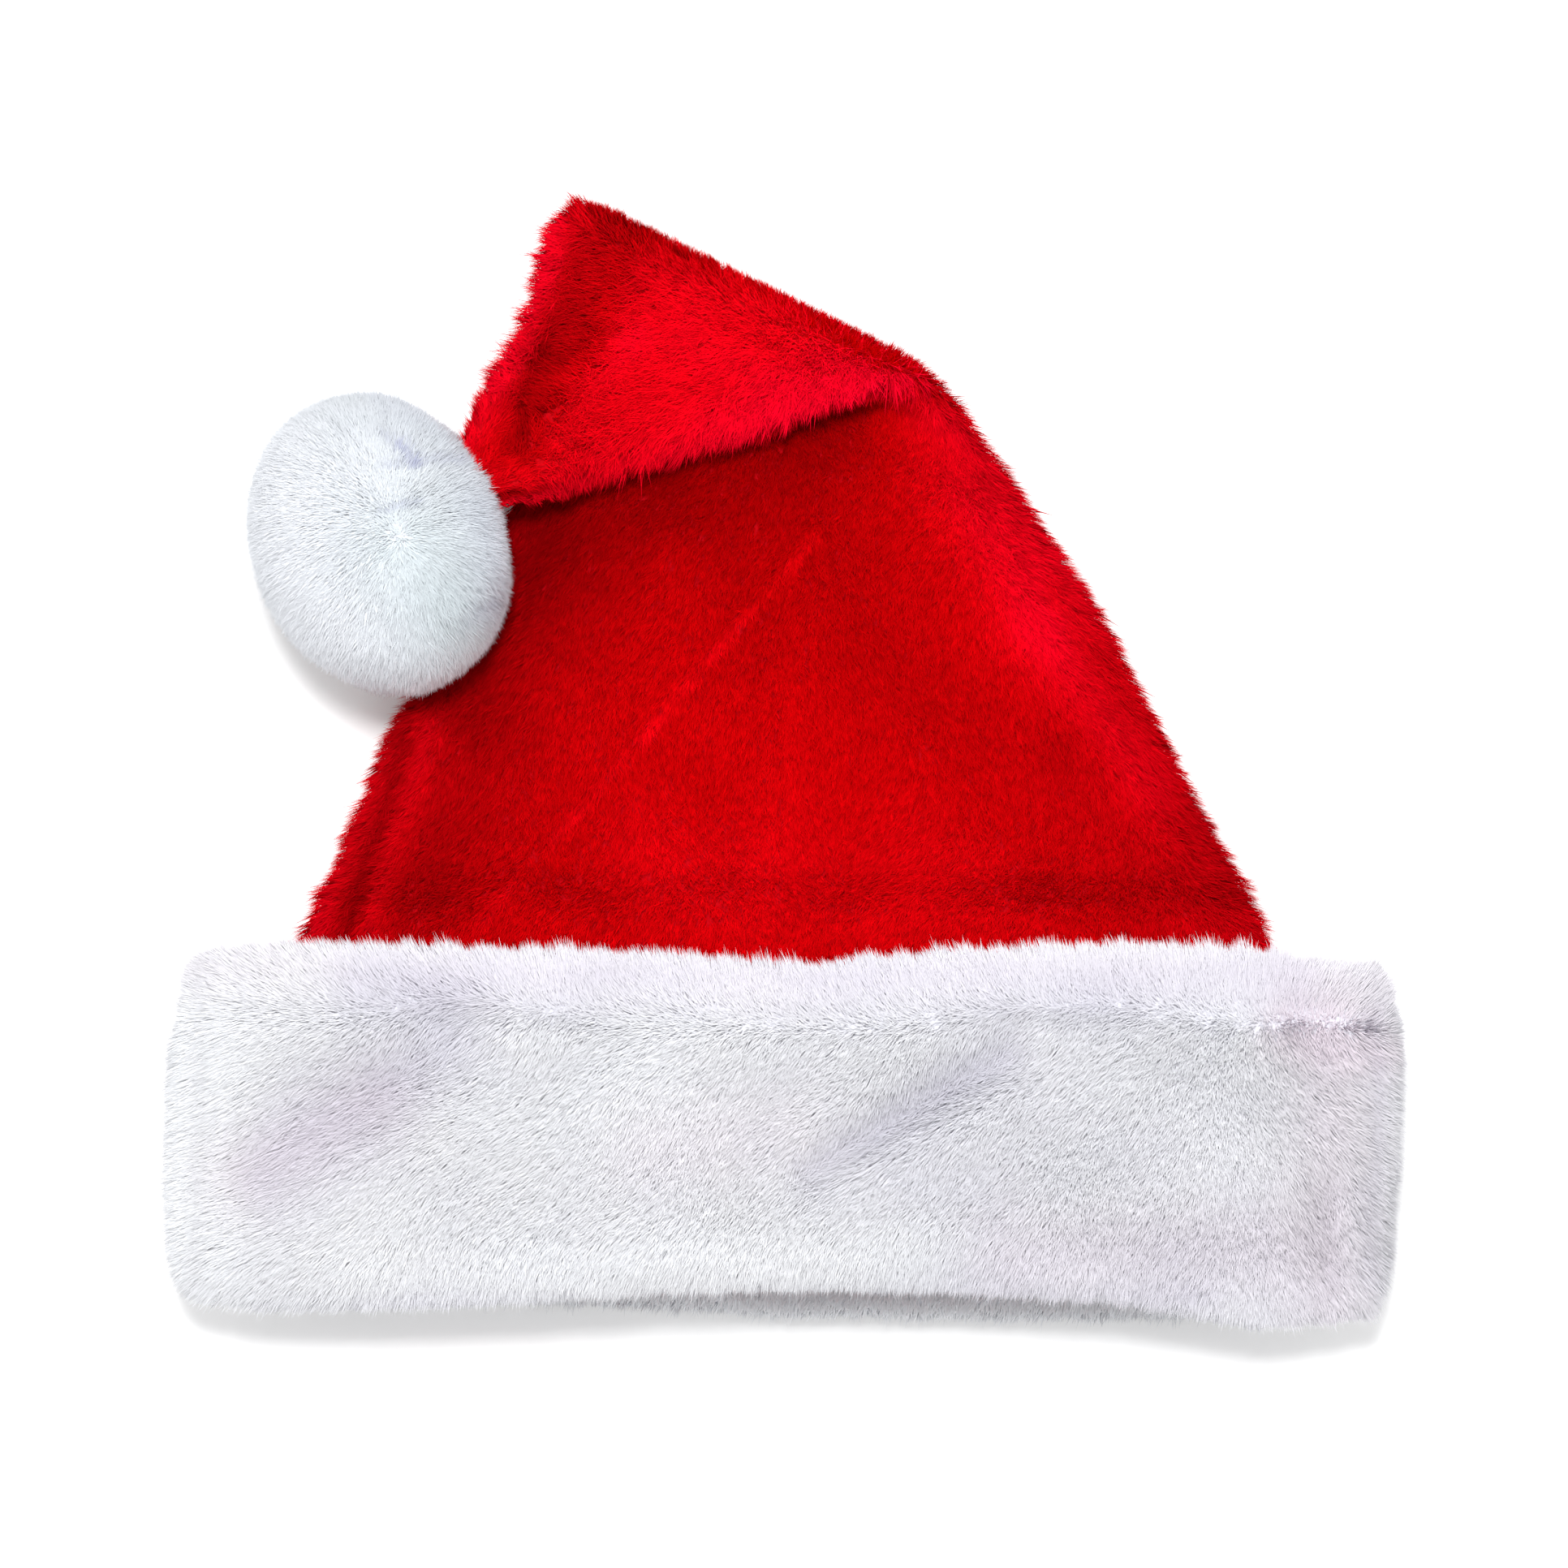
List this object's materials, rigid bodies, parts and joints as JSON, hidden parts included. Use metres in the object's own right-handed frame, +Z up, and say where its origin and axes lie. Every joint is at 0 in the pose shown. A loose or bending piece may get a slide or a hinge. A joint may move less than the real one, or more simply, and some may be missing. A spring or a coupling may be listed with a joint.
{
  "type": "plush christmas hat",
  "caption": "Soft plush conical hat lying flat, tip folded over its front to a round fluffy pompom, with a wide padded fur cuff round the open end.",
  "frame": {"origin": "middle of the hat's bounding box in X and Y, at the floor that the hat lies on", "axes": "+X along the cuff, +Y from the opening towards the fold of the tip, +Z up from the floor, out of the front of the hat"},
  "size_m": [0.3002, 0.2706, 0.0672],
  "materials": {
    "red_plush": "short red plush pile, soft sheen",
    "white_plush": "deep white fur pile, matte"
  },
  "bodies": {
    "root": {"crown_front": "red_plush", "crown_back": "red_plush", "cuff": "white_plush", "pompom": "white_plush"}
  },
  "joints": []
}
